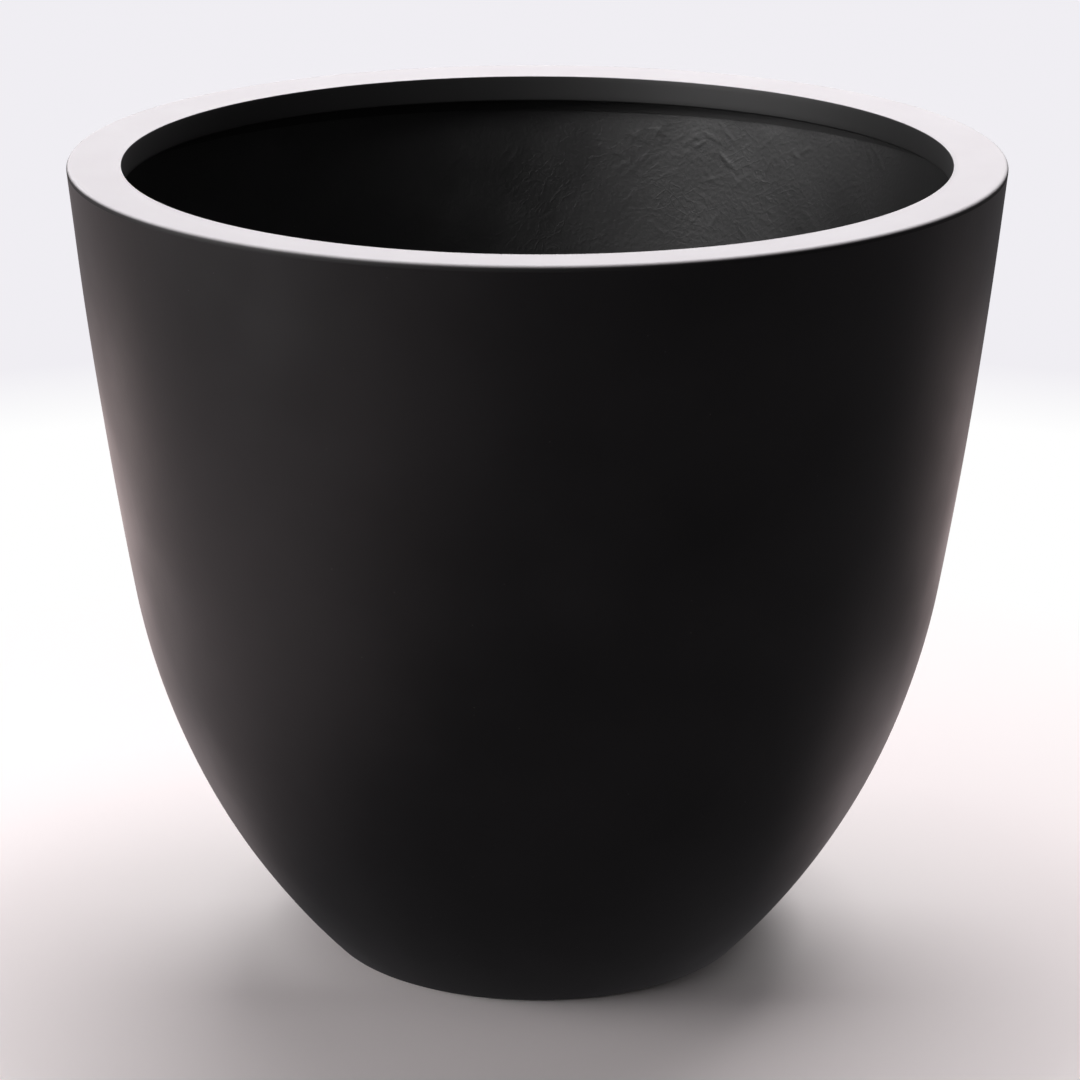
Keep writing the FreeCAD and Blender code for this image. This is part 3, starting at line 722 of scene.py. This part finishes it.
@dataclass
class Shell(Part):
    """The wall: a smooth gelcoat outside with the foot, and a laid laminate inside."""

    thickness: float = 0.006
    skin: float = 0.0025
    skin_gap: float = 0.00005
    skin_rows: int = 24
    outside_rows: int = 92
    foot_wall: float = 0.008
    foot_width: float = 0.052
    foot_edge: float = 0.0015
    foot_edge_side: float = 0.01
    foot_edge_steps: int = 5
    pad_count: int = 4
    pad_half_angle: float = 0.092
    pad_columns: int = 44
    between_columns: int = 62
    pocket_radius: float = 0.0153
    pocket_depth: float = 0.002
    pocket_reach: float = 1.15
    pocket_rows: int = 46
    waviness: float = 0.00016
    waves: Ripples = Ripples(11, 26, (2, 26), 34.0)
    wave_foot: Span = (0.02, 0.09)
    wave_rim: Span = (0.77, 0.70)
    lumpiness: float = 0.00022
    lumps: Ripples = Ripples(7, 30, (3, 40), 60.0)
    folds: tuple[Creases, ...] = (BROAD_FOLDS, SHORT_FOLDS, CLOSE_FOLDS, DEEP_FOLDS)
    fold_radius: float = 0.44
    laid_cove: Span = (0.06, 0.10)
    laid_rim: Span = (0.762, 0.745)
    laid_seam: Span = (0.002, 0.02)
    back_rows: int = 7
    band_z: float = 0.56
    hidden_z: float = 0.768
    hidden_rows: int = 4
    upper_z: float = 0.766
    upper_rows: int = 102
    lower_rows: int = 62
    creased_columns: int = 400
    calm_columns: int = 460
    lower_columns: int = 480

    def pad_angles(self) -> Array:
        """Columns over one turn, close together at the pads.

        Returns:
            The angle of each column.
        """
        quarter, near = FULL_TURN / self.pad_count, self.pad_half_angle
        block = spread((-near, near, self.pad_columns), (near, quarter - near, self.between_columns))
        return np.concatenate([block + quarter * number for number in range(self.pad_count)])

    def creased_angles(self) -> Array:
        """Columns over one turn, close together where the mat's creases are."""
        first, last = CREASED
        return spread((first, last, self.creased_columns), (last, first + FULL_TURN, self.calm_columns))

    def build_gelcoat(self) -> Piece:
        """Outside of the wall and the whole foot, with a pocket for each pad.

        The profile runs along the sole, up the outside, and down the back of the skin. The outside
        moves by gentle ripples that die out at the rim and the foot, and the sole rises by the
        pocket's depth within the pocket's radius of each pad.

        Returns:
            The piece.
        """
        wall = self.wall
        sole_z, step_z = wall.foot_lift, wall.foot_lift + self.foot_wall
        inner = wall.base_radius - self.foot_width
        middle = wall.base_radius - self.foot_width / 2.0
        lean = np.array((math.sin(wall.base_flare), math.cos(wall.base_flare)))
        corner = np.array((wall.base_radius, sole_z))
        side = self.foot_edge_side
        rounding = corner_arc(corner - (side, 0.0), corner, corner + side * lean,
                              self.foot_edge, self.foot_edge_steps)
        across = np.linspace(-self.pocket_reach, self.pocket_reach, self.pocket_rows)
        sole = np.concatenate(([inner], across * self.pocket_radius + middle))
        sole = np.column_stack((sole, np.full(sole.size, sole_z)))
        outside = wall.line(np.linspace(rounding[-1, 1], wall.joint[1], self.outside_rows)[1:])
        back = wall.line(np.linspace(wall.joint[1], step_z, self.skin_rows), self.skin)
        step = np.array([(inner, step_z)])
        profile = np.concatenate((sole, rounding, outside, back, step))
        angles = self.pad_angles()
        push = np.zeros((len(profile), angles.size))
        start = len(sole) + len(rounding)
        heights = outside[:, 1]
        fade = faded(heights, self.wave_foot, self.wave_rim)
        ripple = self.waves.field(angles, heights)
        push[start:start + len(outside)] = self.waviness * fade[:, None] * ripple
        half_pitch = FULL_TURN / (2 * self.pad_count)
        turn = (angles + half_pitch) % (2.0 * half_pitch) - half_pitch
        radii = sole[:, :1]
        apart = np.sqrt(np.maximum(radii**2 + middle**2 - 2.0 * radii * middle * np.cos(turn), 0.0))
        push[: len(sole)] = np.where(apart < self.pocket_radius, -self.pocket_depth, 0.0)
        return turned_piece("shell_gelcoat", profile, angles, push)

    def build_band(self, name: str, heights: Array, angles: Array) -> Piece:
        """One band of the laid inside of the wall.

        The profile runs up the back of the layer and down its face. The face moves inwards by soft
        lumps, by broad folds of mat all round, and by short ones in one sector, a few of them deep.
        All of it dies out under the rim, at the cove and where the two bands meet.

        Args:
            name: Name of the piece.
            heights: Heights of the face's rows, from the top down.
            angles: Angle of each column.

        Returns:
            The piece.
        """
        rising = np.linspace(heights[-1], heights[0], self.back_rows)
        back = self.wall.line(rising, self.skin + self.skin_gap)
        profile = np.concatenate((back, self.wall.line(heights, self.thickness)))
        fade = faded(heights, self.laid_cove, self.laid_rim)
        fade = fade * smooth_step(*self.laid_seam, np.abs(heights - self.band_z))
        relief = sum(folds.field(angles, heights, self.fold_radius) for folds in self.folds)
        lumps = self.lumps.field(angles, heights)
        push = np.zeros((len(profile), angles.size))
        push[len(back):] = fade[:, None] * (relief + self.lumpiness * (1.0 + lumps))
        return turned_piece(name, profile, angles, push)

    def build_laminate(self) -> list[Piece]:
        """Both bands of the laid inside, the upper one on a finer grid.

        Returns:
            The two pieces.
        """
        low, high = self.wall.foot_lift + self.foot_wall + 2.0 * self.skin_gap, self.wall.joint[1]
        hidden = np.linspace(high, self.hidden_z, self.hidden_rows)
        upper = np.concatenate((hidden, np.linspace(self.upper_z, self.band_z, self.upper_rows)))
        lower = np.linspace(self.band_z - self.skin_gap, low, self.lower_rows)
        return [
            self.build_band("laminate_upper", upper, self.creased_angles()),
            self.build_band("laminate_lower", lower, even_angles(self.lower_columns)),
        ]

    def build(self) -> None:
        """Builds and dresses the skin and both bands."""
        resin = LAMINATE.material(self.effects)
        layers = [(self.build_gelcoat(), GELCOAT.material(self.effects))]
        layers += [(band, resin) for band in self.build_laminate()]
        for piece, material in layers:
            dress(piece, material)
            seat(piece, "outer_shell")


@dataclass
class Rim(Part):
    """Rim moulding: broad top, pale by painted reflection, black apron inside and a skirt in the wall."""

    width: float = 0.053
    thickness: float = 0.006
    fall: float = 0.0026
    edge: float = 0.004
    inner_edge: float = 0.001
    edge_steps: int = 7
    apron_depth: float = 0.027
    apron_wall: float = 0.006
    apron_edge: float = 0.002
    skirt_depth: float = 0.040
    skirt_wall: float = 0.005
    wall_thickness: float = 0.006
    bond_gap: float = 0.002
    spacing: float = 0.005
    columns: int = 560
    sharp: float = math.radians(40.0)
    unevenness: float = 0.00012
    ripples: Ripples = Ripples(23, 18, (2, 15), 40.0)
    flat_facing: Span = (0.97, 0.995)
    # facings over which the painted reflection and its painted edge highlight fade out
    painted_reflection_facing: Span = (0.30, 0.95)
    coat_facing: Span = (0.35, 0.85)
    skirt_coat_share: float = 0.35

    def __post_init__(self) -> None:
        """Works out the inner edge of the top."""
        self.inner = self.wall.rim_radius - self.width
        self.inner_z = self.wall.height - self.fall

    def section(self) -> Array:
        """Section of the moulding with rounded corners, held inside the CAD model's reach.

        Returns:
            The closed profile as radius and height, anticlockwise.
        """
        wall, inner, inner_z = self.wall, self.inner, self.inner_z
        slope = 1.0 / math.cos(wall.rim_flare)
        apron_z = inner_z - self.apron_depth
        seat_z = wall.joint[1]
        skirt = wall.joint[0] - (self.wall_thickness + self.bond_gap) * slope
        skirt_in = skirt - self.skirt_wall * slope
        drop = self.skirt_depth * math.tan(wall.rim_flare)
        lean = math.atan2(self.fall, self.width)
        under = inner_z - self.thickness / math.cos(lean)
        corners = [
            (inner, inner_z, self.inner_edge),
            (inner, apron_z, self.apron_edge),
            (inner + self.apron_wall, apron_z, self.apron_edge),
            (inner + self.apron_wall, under + self.apron_wall * math.tan(lean), 0.0),
            (skirt_in, under + (skirt_in - inner) * math.tan(lean), 0.0),
            (skirt - drop - self.skirt_wall * slope, seat_z - self.skirt_depth, 0.0),
            (skirt - drop, seat_z - self.skirt_depth, 0.0),
            (skirt, seat_z, 0.0),
            (wall.joint[0], seat_z, 0.0),
            (wall.rim_radius, wall.height, self.edge),
        ]
        profile = rounded_loop(corners, self.spacing, self.edge_steps)
        reach = min(abs(v) for corner in CAD_BOX for v in corner[:2])
        profile[:, 0] = np.minimum(profile[:, 0], reach - NEAR)
        return profile

    def build_moulding(self) -> Piece:
        """The moulding with the masks of its finish.

        The profile is the section. Its top sinks by up to twice the unevenness in gentle ripples.
        The mask of the painted reflection is 1 where the upper surface faces up, and it fades out over
        the rounded edges as a painted highlight. The apron mask is 1 where the apron faces the axis,
        and weaker on the skirt.

        Returns:
            The piece.
        """
        profile = self.section()
        inward, upward = -outward(profile)[:, 0], outward(profile)[:, 1]
        on_top = profile[:, 1] > self.inner_z - self.inner_edge
        flat = smooth_step(*self.flat_facing, upward) * on_top
        angles = even_angles(self.columns)
        ripple = self.ripples.field(angles, profile[:, 0])
        push = -self.unevenness * flat[:, None] * np.clip(1.0 + ripple, 0.0, 2.0)
        piece = turned_piece("rim_moulding", profile, angles, push, self.sharp)
        on_apron = profile[:, 0] < self.inner + self.apron_wall / 2.0
        share = np.where(on_apron, 1.0, self.skirt_coat_share)
        weights = {
            # painted reflection on the top, fading over the rounded edges as a painted highlight
            PAINTED_REFLECTION_MASK: smooth_step(*self.painted_reflection_facing, upward) * on_top,
            APRON_MASK: smooth_step(*self.coat_facing, inward) * share,
        }
        for name, weight in weights.items():
            mask = piece.data.attributes.new(name, "FLOAT", "POINT")
            mask.data.foreach_set("value", np.repeat(weight, angles.size).astype(np.float32))
        return piece

    def build(self) -> None:
        """Builds and dresses the moulding."""
        piece = self.build_moulding()
        dress(piece, RIM_BLACK_AND_PAINTED_REFLECTION.material(self.effects))
        seat(piece, "rim_ring")


@dataclass
class Base(Part):
    """Laminated plate on the foot, and the cove of resin and tape around it."""

    plate_low: float = 0.0095
    plate_wall: float = 0.010
    plate_radius: float = 0.209
    plate_hole: float = 0.0223
    plate_edge: float = 0.001
    plate_edge_steps: int = 4
    plate_spacing: float = 0.003
    plate_columns: int = 420
    plate_lumps: Ripples = Ripples(31, 30, (2, 24), 130.0)
    lumps_inside: Span = (0.035, 0.055)
    lumps_outside: Span = (0.182, 0.165)
    cove_height: float = 0.034
    cove_width: float = 0.030
    cove_lip: float = 0.002
    cove_inset: float = 0.0063
    cove_back_rows: int = 14
    cove_rows: int = 26
    cove_columns: int = 480
    cove_lumps: Ripples = Ripples(37, 30, (4, 60), 160.0)
    cove_crest: Span = (0.0, 0.25)
    cove_toe: Span = (1.0, 0.75)
    lumpiness: float = 0.00022

    def build_plate(self) -> Piece:
        """Plate with a lumpy top, flat under the gasket and the cove.

        The profile is the plate's section. Its top moves up and down by ripples between the two
        flat zones.

        Returns:
            The piece.
        """
        top = self.plate_low + self.plate_wall
        corners = [
            (self.plate_hole, self.plate_low, 0.0),
            (self.plate_radius, self.plate_low, 0.0),
            (self.plate_radius, top, self.plate_edge),
            (self.plate_hole, top, 0.0),
        ]
        profile = rounded_loop(corners, self.plate_spacing, self.plate_edge_steps)
        angles = even_angles(self.plate_columns)
        radii = profile[:, 0]
        zone = faded(radii, self.lumps_inside, self.lumps_outside) * (profile[:, 1] > top - NEAR)
        push = zone[:, None] * self.lumpiness * self.plate_lumps.field(angles, radii)
        return turned_piece("base_laminate", profile, angles, push)

    def build_cove(self) -> Piece:
        """Cove whose hollow runs along the wall at its crest, with a lumpy face.

        The hollow is an arc through the toe and the crest: centre = crest - arc * normal, with arc =
        chord^2 / (2 chord . normal). The face moves by ripples that die out at both ends.

        Returns:
            The piece.
        """
        wall = self.wall
        low_z = self.plate_low + self.plate_wall
        high_z = low_z + self.cove_height
        back = wall.line(np.linspace(low_z, high_z, self.cove_back_rows), self.cove_inset)
        crest = back[-1] - (self.cove_lip, 0.0)
        toe = back[0] + (-self.cove_width, self.cove_lip)
        dip = math.asin((wall.bowl_centre[1] - high_z) / (wall.bowl_arc - self.cove_inset))
        normal = np.array((math.cos(dip), -math.sin(dip)))
        chord = crest - toe
        arc = float(chord @ chord) / (2.0 * float(chord @ normal))
        centre = crest - arc * normal
        first, last = (math.atan2(p[1] - centre[1], p[0] - centre[0]) for p in (crest, toe))
        sweep = np.linspace(first, last, self.cove_rows)
        hollow = centre + arc * np.column_stack((np.cos(sweep), np.sin(sweep)))
        profile = np.concatenate((back, hollow, [toe - (0.0, self.cove_lip)]))
        angles = even_angles(self.cove_columns)
        push = np.zeros((len(profile), angles.size))
        share = np.linspace(0.0, 1.0, self.cove_rows)
        fade = faded(share, self.cove_crest, self.cove_toe)
        lumps = self.cove_lumps.field(angles, hollow[:, 1])
        push[len(back):len(back) + self.cove_rows] = self.lumpiness * fade[:, None] * lumps
        return turned_piece("cove_laminate", profile, angles, push)

    def build(self) -> None:
        """Builds and dresses the plate and the cove."""
        material = LAMINATE.material(self.effects)
        for piece, node in ((self.build_plate(), "base_plate"), (self.build_cove(), "base_cove")):
            dress(piece, material)
            seat(piece, node)


@dataclass
class Fittings(Part):
    """Drain, stopper, pads and bond, which keep their CAD shapes."""

    finishes: tuple[tuple[Finish, tuple[str, ...]], ...] = (
        (ADHESIVE, ("rim_bond",)),
        (PLASTIC, ("drain_flange", "drain_nut")),
        (RUBBER, ("drain_gasket", "drain_plug", "foot_pads")),
    )

    def build(self) -> None:
        """Dresses each carried-over node."""
        for finish, nodes in self.finishes:
            material = finish.material(self.effects)
            for node in nodes:
                dress(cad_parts[node], material)
                LOG.info("%s: %s", node, finish.name)


@dataclass(frozen=True)
class Lamp:
    """A soft rectangular light that faces one point."""

    name: str
    place: Place
    aim: Place
    size: tuple[float, float]
    power: float
    reach: Reach = Reach.ALL
    colour: Colour = (1.0, 0.985, 0.99)

    def build(self) -> None:
        """Adds the light, with its width level."""
        data = bpy.data.lights.new(self.name, "AREA")
        data.shape = "RECTANGLE"
        data.size, data.size_y = self.size
        data.energy = self.power
        data.color = self.colour
        lamp = bpy.data.objects.new(self.name, data)
        bpy.context.scene.collection.objects.link(lamp)
        lamp.visible_diffuse = self.reach is not Reach.SHEEN
        lamp.visible_glossy = self.reach is not Reach.FILL
        ahead = np.subtract(self.aim, self.place)
        ahead = ahead / np.linalg.norm(ahead)
        right = np.cross(ahead, (0.0, 0.0, 1.0))
        right = right / np.linalg.norm(right)
        lamp.matrix_world = aimed(right, np.cross(right, ahead), ahead, self.place)


Zone = tuple[tuple[Along, Span, Span], ...]


@dataclass
class Studio:
    """Pale floor without an edge, pale surroundings and four soft lamps.

    The floor is matt, and it also glows. The camera sees the glow further away and, weakly, beside
    the foot, where it is painted light that softens the planter's shadow. Reflections see only the
    glow: warm behind, pale at the left and beside the foot, and dim elsewhere. A zone of the floor
    has limits, each with a span along something and the share at the span's two ends. The zone's
    share is their product.
    """

    floor_radius: float = 40.0
    floor_sides: int = 96
    floor_colour: Colour = (0.93, 0.865, 0.87)
    floor_roughness: float = 0.95
    floor_specular: float = 0.1
    near_colour: Colour = (1.0, 0.945, 0.945)
    far_colour: Colour = (0.87, 0.855, 0.895)
    warm_colour: Colour = (1.95, 1.58, 1.56)
    pale_colour: Colour = (0.97, 0.83, 0.845)
    dim_colour: Colour = (0.16, 0.152, 0.16)
    far: Zone = ((Along.AWAY, (0.6, 1.2), RISING),)
    backdrop: Zone = ((Along.AWAY, (1.95, 2.3), RISING),)
    # painted light: a weak glow beside the foot, seen by the camera alone, softening the planter's shadow
    painted_light_by_foot: Zone = ((Along.BACK, (-0.2, 0.05), (0.0, 0.4)), (Along.AWAY, (0.2, 0.28), RISING),
                  (Along.AWAY, (0.35, 0.55), FALLING))
    warm: Zone = ((Along.BACK, (0.25, 1.3), RISING), (Along.RIGHT, (0.3, 1.4), (1.0, 0.45)),
                  (Along.AWAY, (1.5, 2.5), FALLING))
    left: Zone = ((Along.RIGHT, (-0.3, -0.95), RISING), (Along.AWAY, (1.0, 2.0), (1.0, 0.3)))
    flank: Zone = ((Along.SIDEWAYS, (0.25, 0.5), RISING), (Along.AWAY, (0.45, 1.1), FALLING),
                   (Along.BACK, (-0.15, 0.08), RISING))
    shade: Zone = ((Along.AWAY, (0.3, 0.7), (0.2, 0.0)),)
    sky_colour: Colour = (1.0, 0.985, 1.0)
    sky_dim: float = 0.08
    sky_pale: float = 0.92
    sky_behind: Span = (0.3, 0.8)
    lamps: tuple[Lamp, ...] = (
        Lamp("back_light", (0.4, 1.7, 4.6), (0.0, 0.0, 0.5), (4.5, 3.0), 265.0, Reach.FILL),
        Lamp("left_light", (-2.6, -0.9, 0.95), (0.0, 0.0, 0.3), (2.8, 1.3), 54.0),
        Lamp("front_fill", (0.5, -1.8, 3.4), (0.0, -0.3, 0.5), (2.4, 2.0), 9.0, Reach.FILL),
        Lamp("sheen_light", (-2.15, -1.7, 2.2), (0.0, 0.0, 0.75), (1.2, 1.0), 84.0, Reach.SHEEN),
    )

    @staticmethod
    def share(graph: Graph, places: Mapping[Along, Wire], zone: Zone) -> Wire:
        """Share of a zone at a place on the floor."""
        return graph.product(*(graph.span(places[along], ends, shares) for along, ends, shares in zone))

    def floor_material(self) -> bpy.types.Material:
        """Matt floor, with its glow mixed in by the kind of ray that meets it.

        Returns:
            The material.
        """
        material = bpy.data.materials.new("floor")
        material.use_nodes = True
        graph = Graph(material.node_tree)
        place = graph.add("ShaderNodeTexCoord").outputs["Object"]
        axes = graph.add("ShaderNodeSeparateXYZ", {0: place}).outputs
        places = {
            Along.RIGHT: axes["X"],
            Along.BACK: axes["Y"],
            Along.SIDEWAYS: graph.math("ABSOLUTE", axes["X"]),
            Along.AWAY: graph.add("ShaderNodeVectorMath", {0: place}, operation="LENGTH").outputs["Value"],
        }
        zones = (self.far, self.backdrop, self.painted_light_by_foot, self.warm, self.left, self.flank, self.shade)
        far, backdrop, painted_light_by_foot, warm, left, flank, shade = (self.share(graph, places, zone) for zone in zones)
        seen = graph.blend(far, self.near_colour, WHITE)
        seen = graph.blend(backdrop, seen, self.far_colour)
        reflected = graph.blend(graph.math("MAXIMUM", left, flank), self.dim_colour, self.pale_colour)
        reflected = graph.blend(warm, reflected, self.warm_colour)
        reflected = graph.blend(shade, reflected, BLACK)
        path = graph.add("ShaderNodeLightPath").outputs
        camera = path["Is Camera Ray"]
        mirrored = graph.math("MAXIMUM", path["Is Glossy Ray"], path["Is Transmission Ray"])
        # the camera sees the far glow, and the painted light beside the foot
        shown = graph.product(camera, graph.math("MAXIMUM", far, painted_light_by_foot))
        matt = graph.add("ShaderNodeBsdfPrincipled", {
            "Base Color": self.floor_colour,
            "Roughness": self.floor_roughness,
            "Specular IOR Level": self.floor_specular,
        })
        tone = graph.blend(camera, reflected, seen)
        glow = graph.add("ShaderNodeEmission", {"Color": tone, "Strength": 1.0})
        mixed = graph.add("ShaderNodeMixShader", {
            0: graph.math("MAXIMUM", shown, mirrored),
            1: matt.outputs[0],
            2: glow.outputs[0],
        })
        graph.add("ShaderNodeOutputMaterial", {"Surface": mixed.outputs[0]})
        return material

    def build_floor(self) -> None:
        """Round flat floor under the planter."""
        angles = even_angles(self.floor_sides)
        edge = np.column_stack((np.cos(angles), np.sin(angles), np.zeros(self.floor_sides)))
        mesh = bpy.data.meshes.new("floor")
        mesh.from_pydata((edge * self.floor_radius).tolist(), [], [list(range(self.floor_sides))])
        floor = bpy.data.objects.new("floor", mesh)
        bpy.context.scene.collection.objects.link(floor)
        dress(floor, self.floor_material())

    def build_world(self) -> None:
        """Even dim surroundings, pale to the camera and, behind the planter, to reflections."""
        world = bpy.data.worlds.new("studio")
        world.use_nodes = True
        graph = Graph(world.node_tree)
        path = graph.add("ShaderNodeLightPath").outputs
        way = graph.add("ShaderNodeTexCoord").outputs["Generated"]
        behind = graph.add("ShaderNodeSeparateXYZ", {0: way}).outputs["Y"]
        behind = graph.span(behind, self.sky_behind, RISING)
        mirrored = graph.math("MAXIMUM", path["Is Glossy Ray"], path["Is Transmission Ray"])
        seen = graph.math("MAXIMUM", path["Is Camera Ray"], graph.product(mirrored, behind))
        strength = graph.span(seen, RISING, (self.sky_dim, self.sky_pale))
        sky = graph.add("ShaderNodeBackground", {"Color": self.sky_colour, "Strength": strength})
        graph.add("ShaderNodeOutputWorld", {"Surface": sky.outputs[0]})
        bpy.context.scene.world = world

    def build(self) -> None:
        """Builds the floor, the surroundings and the lamps."""
        self.build_floor()
        self.build_world()
        for lamp in self.lamps:
            lamp.build()


@dataclass
class PhotoCamera:
    """Camera at the photograph's view."""

    place: Place = (0.0, -3.8845, 1.6424)
    pitch: float = 0.307633
    yaw: float = 0.00077
    roll: float = 0.00129
    lens: float = 135.33
    sensor: float = 36.0

    def build(self) -> None:
        """Adds the camera: its axes are turned by the yaw, then the pitch, then the roll."""
        ahead_flat = np.array((math.sin(self.yaw), math.cos(self.yaw), 0.0))
        right_flat = np.array((math.cos(self.yaw), -math.sin(self.yaw), 0.0))
        zenith = np.array((0.0, 0.0, 1.0))
        ahead = math.cos(self.pitch) * ahead_flat - math.sin(self.pitch) * zenith
        up_flat = math.sin(self.pitch) * ahead_flat + math.cos(self.pitch) * zenith
        right = math.cos(self.roll) * right_flat + math.sin(self.roll) * up_flat
        up = -math.sin(self.roll) * right_flat + math.cos(self.roll) * up_flat
        data = bpy.data.cameras.new("photo_camera")
        data.lens, data.sensor_width = self.lens, self.sensor
        camera = bpy.data.objects.new("photo_camera", data)
        bpy.context.scene.collection.objects.link(camera)
        camera.matrix_world = aimed(right, up, ahead, self.place)
        bpy.context.scene.camera = camera


def main() -> None:
    """Builds the planter, the studio and the camera in order."""
    logging.basicConfig(level=logging.INFO, format="%(name)s: %(message)s")
    effects, wall = Effects(), WallCurve()
    for part in (Shell, Rim, Base, Fittings):
        part(effects, wall).build()
    Studio().build()
    PhotoCamera().build()
    bpy.context.scene.view_settings.view_transform = "Standard"


if __name__ == "__main__":
    main()
